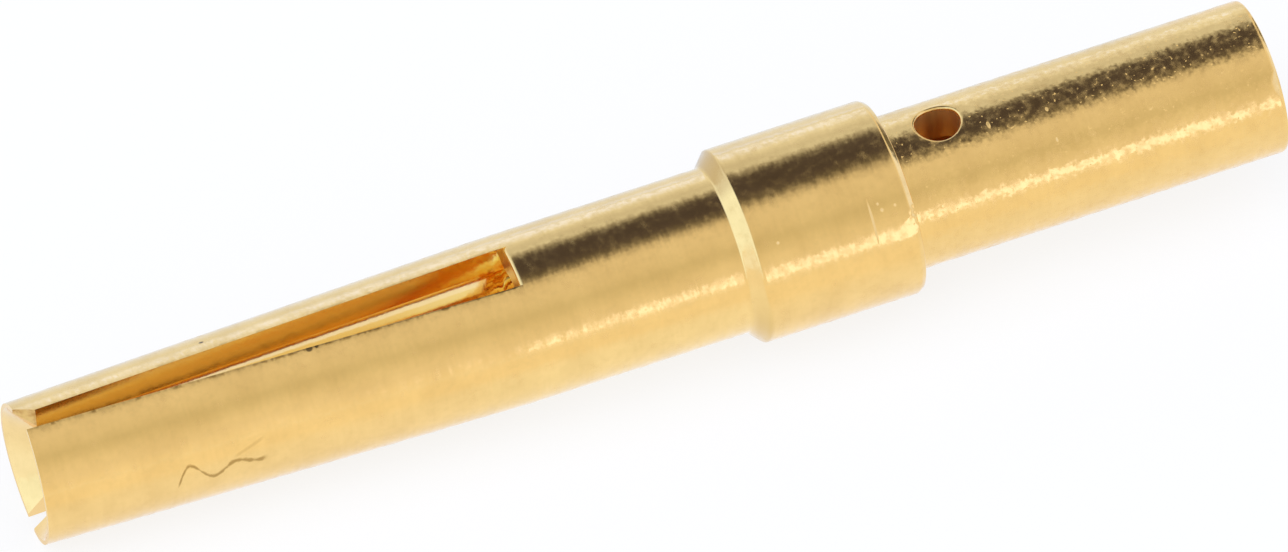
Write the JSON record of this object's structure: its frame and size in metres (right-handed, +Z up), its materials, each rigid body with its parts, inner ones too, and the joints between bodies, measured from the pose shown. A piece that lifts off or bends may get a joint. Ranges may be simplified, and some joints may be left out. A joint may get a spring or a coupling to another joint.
{
  "type": "crimp contact",
  "caption": "Turned gold-plated socket contact with slotted spring tines, a retention collar and a hollow crimp barrel with an inspection hole, for a sub-miniature D connector.",
  "frame": {"origin": "on the contact axis, in the plane of the collar's rear face", "axes": "+X along the contact axis toward the open crimp end, tines toward -X; +Z up, the way the slot and the inspection hole face; the contact lies on its side"},
  "size_m": [0.0136, 0.002, 0.002],
  "materials": {
    "plating": "gold plating over turned copper alloy, fine turning marks"
  },
  "bodies": {
    "root": {"contact": "plating"}
  },
  "joints": []
}
